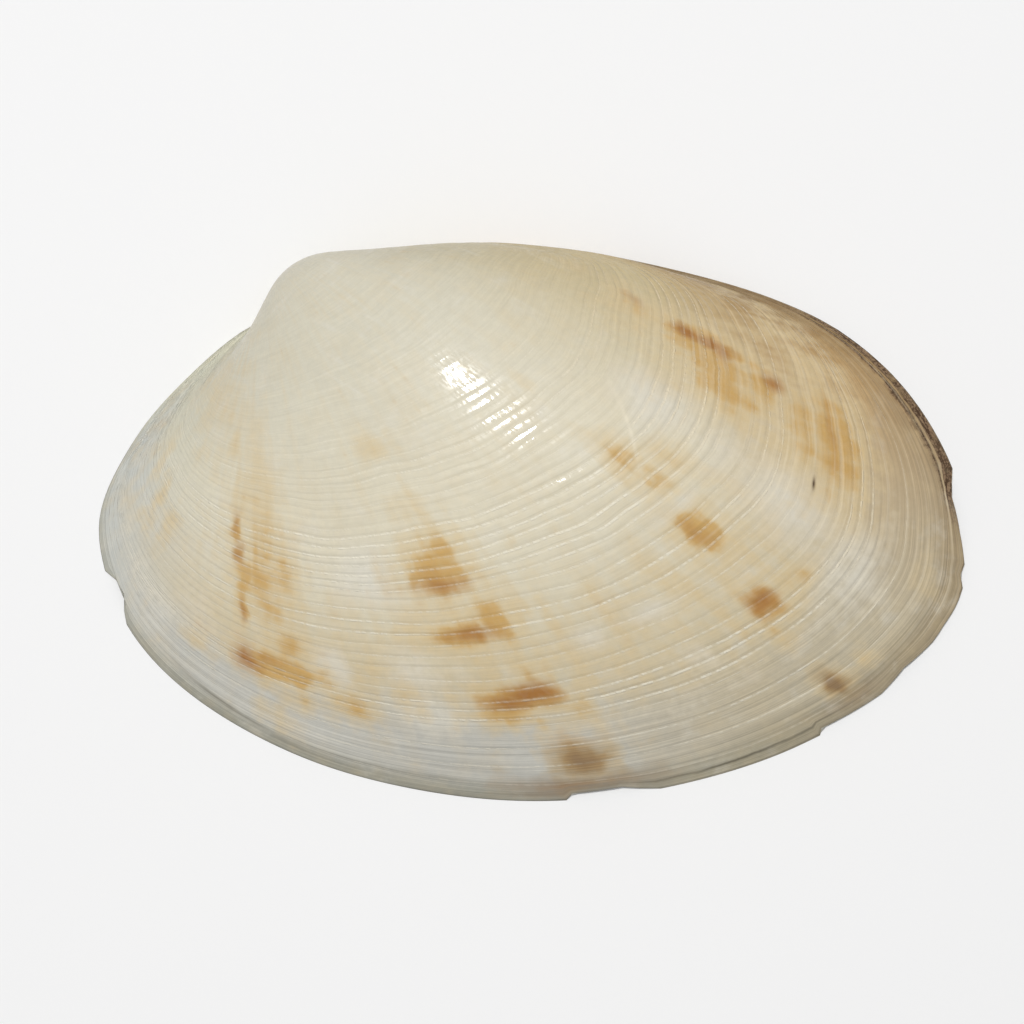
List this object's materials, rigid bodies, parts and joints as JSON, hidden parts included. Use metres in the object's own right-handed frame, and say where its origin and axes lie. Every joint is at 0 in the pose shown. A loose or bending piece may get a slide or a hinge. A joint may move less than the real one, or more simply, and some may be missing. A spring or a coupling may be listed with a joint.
{
  "type": "venus clam shell",
  "caption": "Left valve of a venus clam: an oval dome about 40 mm long with fine growth ribs, lying hollow side down on its rim.",
  "frame": {"origin": "middle of the valve's bounding box, in the plane of its rim", "axes": "+X to the hind end along the length, +Y to the hinge side, +Z out of the dome, away from the surface it lies on"},
  "size_m": [0.0402, 0.0258, 0.0077],
  "materials": {
    "shell": "satin"
  },
  "bodies": {
    "root": {"left_valve": "shell"}
  },
  "joints": []
}
